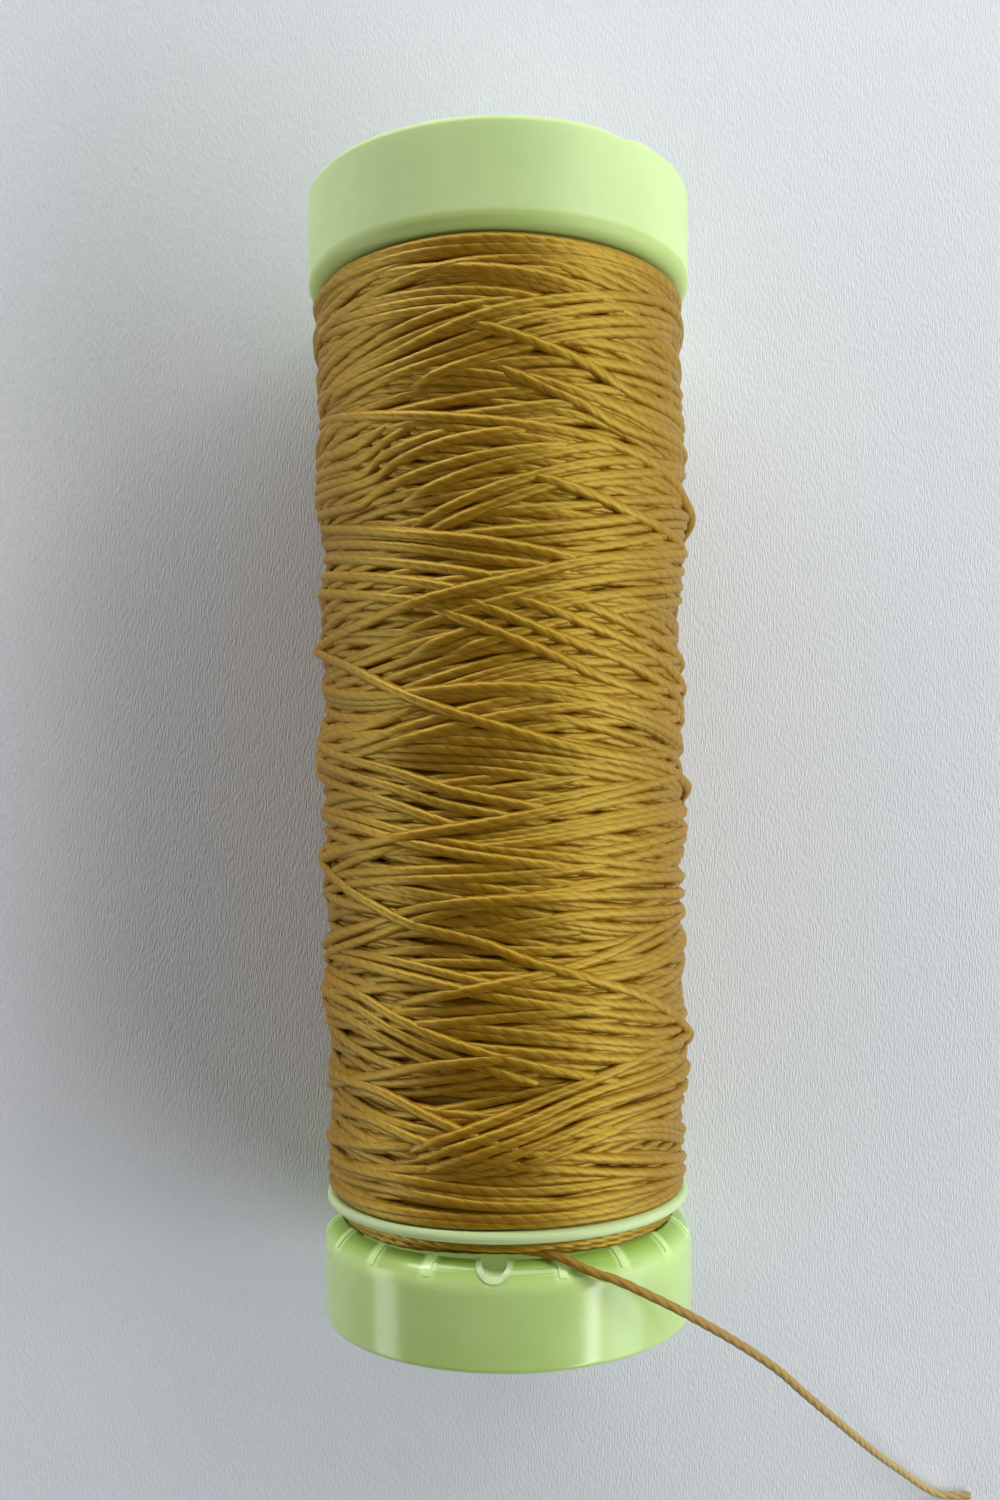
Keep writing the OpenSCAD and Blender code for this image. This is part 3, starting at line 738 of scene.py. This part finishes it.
# Turns back from the free end: how far out the thread lies there, and how far along the spool.
held_out = [(0, math.hypot(end_x, end_z - AXIS)), (0.1, 8.95), (0.88, 9.0), (0.95, 9.22),
            (1.02, 9.0), (1.1, 8.95), (1.2, 8.72), (1.9, 8.72), (1.94, 8.35), (1.97, 8.2),
            (2.01, 8.3), (2.06, 8.7), (2.15, 8.7), (2.3, HUB)]
held_along = [(0, 0), (0.1, 0.17), (1.1, 0.19), (1.2, -0.21), (2.15, -0.21), (2.3, 0.1),
              (2.4, -0.15)]
unwound = np.linspace(2.4, 0, 600)
around = end_angle - unwound * math.tau
out = np.interp(unwound, *zip(*held_out))
held = np.column_stack([out * np.sin(around), end_y + np.interp(unwound, *zip(*held_along)),
                        AXIS + out * np.cos(around)])
# Before them the thread comes over the rim: degrees further back, mm out and mm along the spool.
rim_way = [(88, 9.6, -22.1), (70, 9.9, -22.45), (56, 10.08, -23.0), (44, 9.95, -23.45),
           (32, 9.3, -23.75), (20, 8.7, -23.95), (8, 8.3, -24.0)]
over_rim = [(r * math.sin(around[0] - math.radians(back)), y,
             AXIS + r * math.cos(around[0] - math.radians(back))) for back, r, y in rim_way]
locked_line = smooth_route([*over_rim, *held[::12], held[-1]], 0.12)
locked = plied_thread("locked_turns_thread", locked_line, thread)
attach(locked, "spool")
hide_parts("locked_turns")


# ---- table and light ----
# The spool lies on a sheet of rough pale paper, with its grain along the spool. Soft daylight
# comes from a window on the right, and from the pale walls round the table.
ROOM = (0.58, 0.61, 0.64, 1)
SHEET = 1200  # mm from the spool to the sheet's edges

paper = Finish("pale_paper", Roughness=0.85, Specular_IOR_Level=0.2)
place = paper.node("ShaderNodeTexCoord", give="Object")
mottle = paper.noise(place, 25)
grain = paper.node("ShaderNodeMapping", None, {"Vector": place, "Scale": (1, 0.22, 1)})
paper.paint("Base Color", paper.mix(mottle, (0.76, 0.81, 0.89, 1), (0.82, 0.87, 0.95, 1)))
paper.emboss(paper.noise(grain, 11000), 1.0, 0.07)
# Further out than the spool's shadow reaches, the sheet runs on evenly pale into the room.
x, y = (paper.node("ShaderNodeSeparateXYZ", None, {"Vector": place}, k) for k in "XY")
seen = paper.node("ShaderNodeLightPath", give="Is Camera Ray")
far_out = paper.step((x ** 2 + y ** 2) ** 0.5, 0.06, 0.13) * seen
surface_light = Wire(paper, paper.shader.outputs["BSDF"])
room_light = paper.node("ShaderNodeEmission", None, {"Color": ROOM})
both = paper.node("ShaderNodeMixShader", None, {0: far_out, 1: surface_light, 2: room_light})
paper.feed(paper.tree.nodes["Material Output"].inputs["Surface"], both)
mesh = new_mesh("paper", [(-SHEET, -SHEET, 0), (SHEET, -SHEET, 0), (SHEET, SHEET, 0),
                          (-SHEET, SHEET, 0)], [], [(0, 1, 2, 3)])
mesh.materials.append(paper.material)
table = add_object("paper", mesh)


def soft_light(name, place, size, watts, colour):
    """A rectangular lamp that faces the spool."""
    lamp = bpy.data.lights.new(name, "AREA")
    lamp.shape = "RECTANGLE"
    lamp.size, lamp.size_y = size
    lamp.energy, lamp.color = watts, colour
    made = add_object(name, lamp)
    made.location = place
    towards_spool = Vector((0, 0, AXIS * MM)) - Vector(place)
    made.rotation_euler = towards_spool.to_track_quat("-Z", "Y").to_euler()
    made.visible_camera = False


soft_light("window", (0.29, -0.13, 0.235), (0.4, 0.055), 0.68, (1.0, 0.94, 0.96))
soft_light("bright_wall", (0.34, -0.1, 0.1), (0.4, 0.16), 0.64, (0.88, 0.98, 1.0))
soft_light("far_wall", (-0.33, -0.08, 0.07), (0.4, 0.1), 0.49, (1.0, 0.97, 0.97))
soft_light("upper_right", (0.24, 0.16, 0.2), (0.2, 0.16), 0.26, (1.0, 0.98, 0.8))
soft_light("upper_left", (-0.15, 0.28, 0.06), (0.25, 0.06), 0.5, (1.0, 0.94, 0.92))
soft_light("upper_window", (0.08, 0.24, 0.13), (0.3, 0.08), 0.44, (0.95, 0.95, 0.9))
# The room itself is dim, and pale where it is seen beyond the table.
world = bpy.data.worlds.new("room")
world.use_nodes = True
room = Bench(world.node_tree)
seen = room.node("ShaderNodeLightPath", give="Is Camera Ray")
room.feed(world.node_tree.nodes["Background"].inputs["Color"],
          room.mix(seen, (0.022, 0.02, 0.018, 1), ROOM))
bpy.context.scene.world = world
bpy.context.scene.view_settings.view_transform = "Standard"
